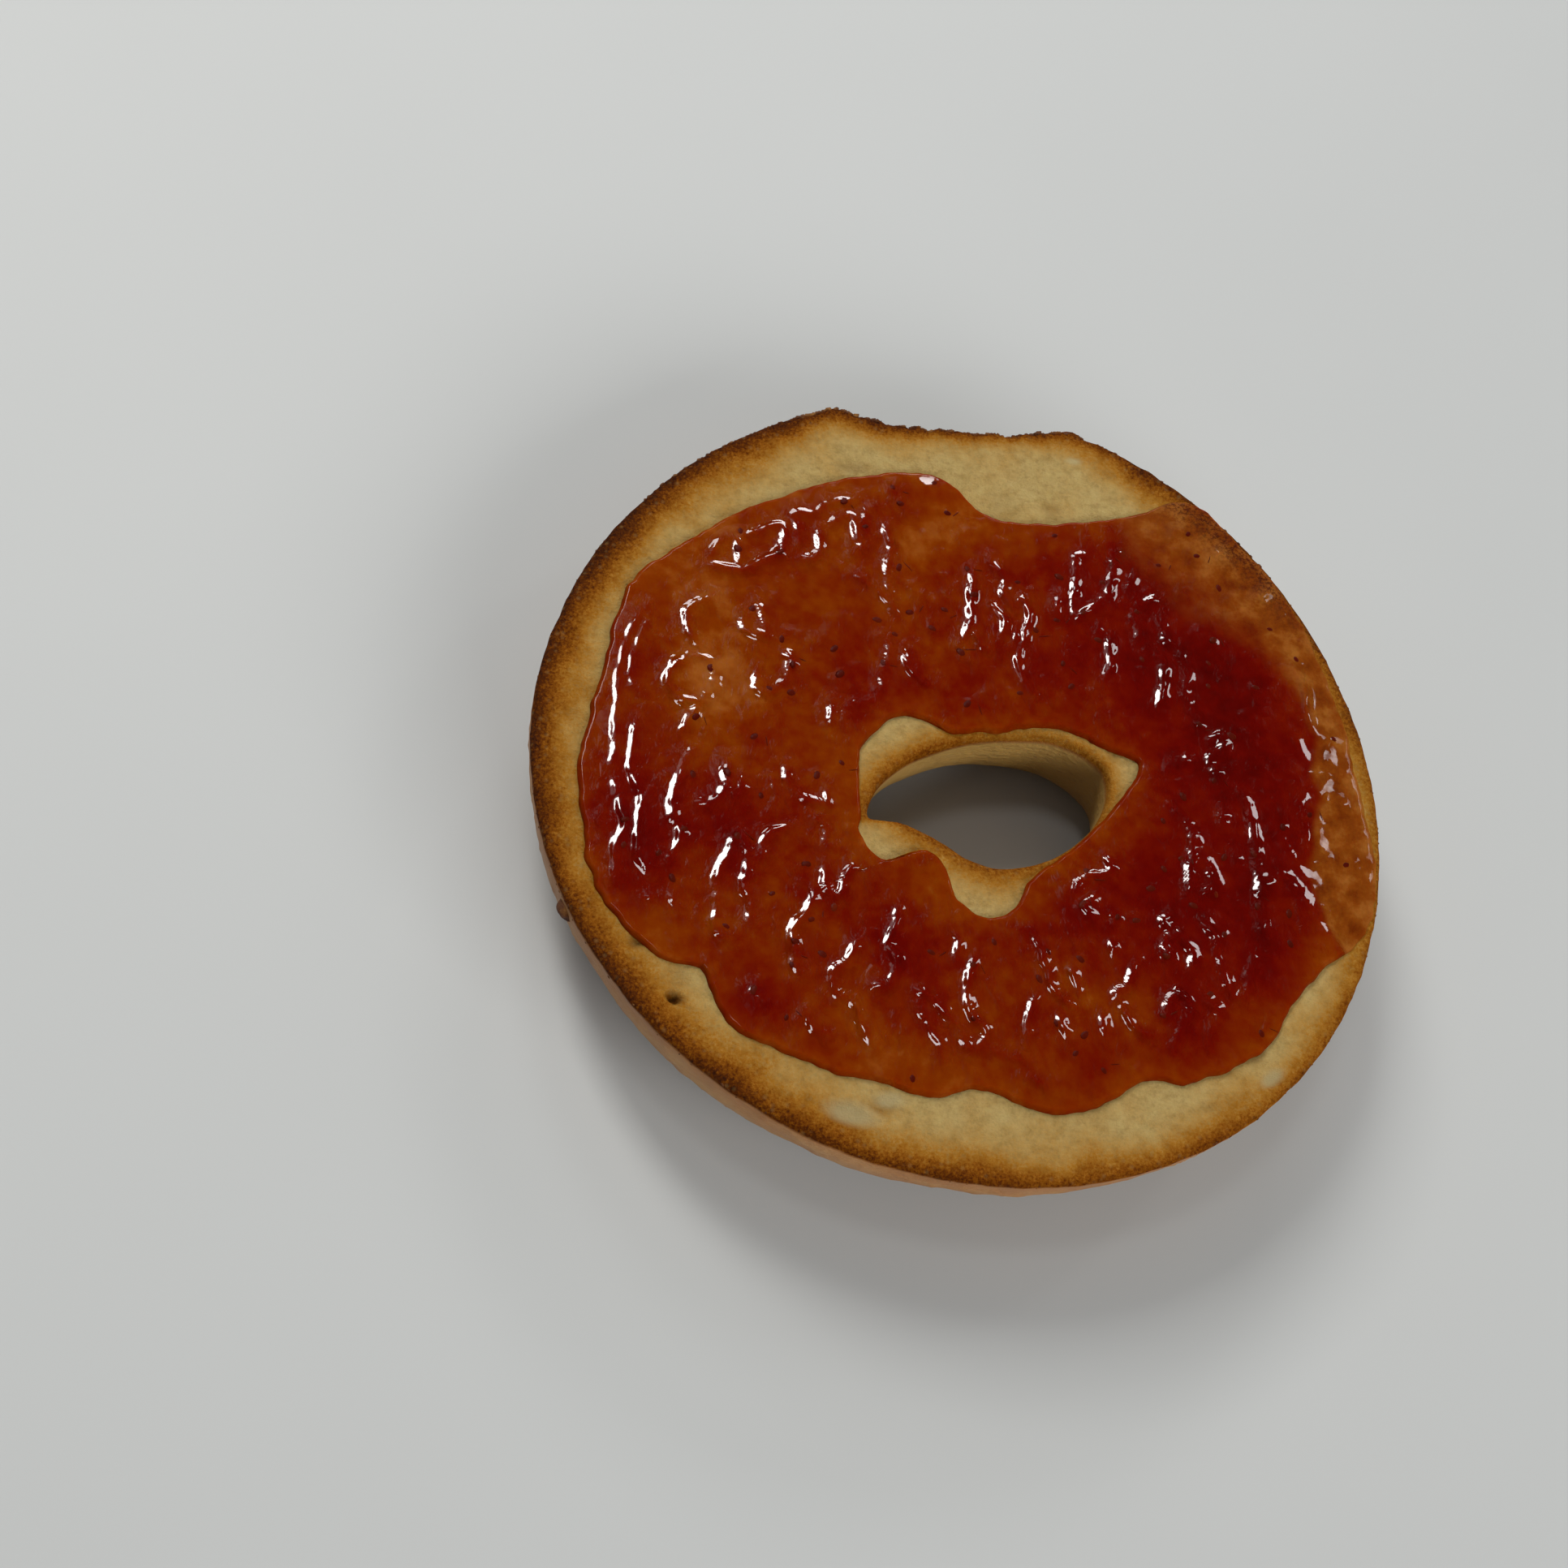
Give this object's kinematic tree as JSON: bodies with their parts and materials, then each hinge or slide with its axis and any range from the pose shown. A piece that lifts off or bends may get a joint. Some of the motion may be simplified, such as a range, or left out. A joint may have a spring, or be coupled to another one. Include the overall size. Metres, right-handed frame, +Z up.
{
  "type": "bagel half with jam",
  "caption": "Toasted half of a cut bagel lying on its crust with the cut face up, an oval centre hole, a torn-flat side and a layer of glossy strawberry jam spread over the face.",
  "frame": {"origin": "on the resting surface, under the middle of the bounding box, inside the centre hole", "axes": "+Z up out of the cut face; +Y towards the flat side where the bagel was torn from its neighbour; +X towards the side where the jam reaches the rim"},
  "size_m": [0.1052, 0.1026, 0.0198],
  "materials": {
    "toasted_bread": "matte porous crumb, toasted brown at the rim, with a satin baked crust",
    "strawberry_jam": "wet gloss, translucent amber to deep red, with seeds"
  },
  "bodies": {
    "root": {"bagel_half": "toasted_bread", "jam_spread": "strawberry_jam"}
  },
  "joints": []
}
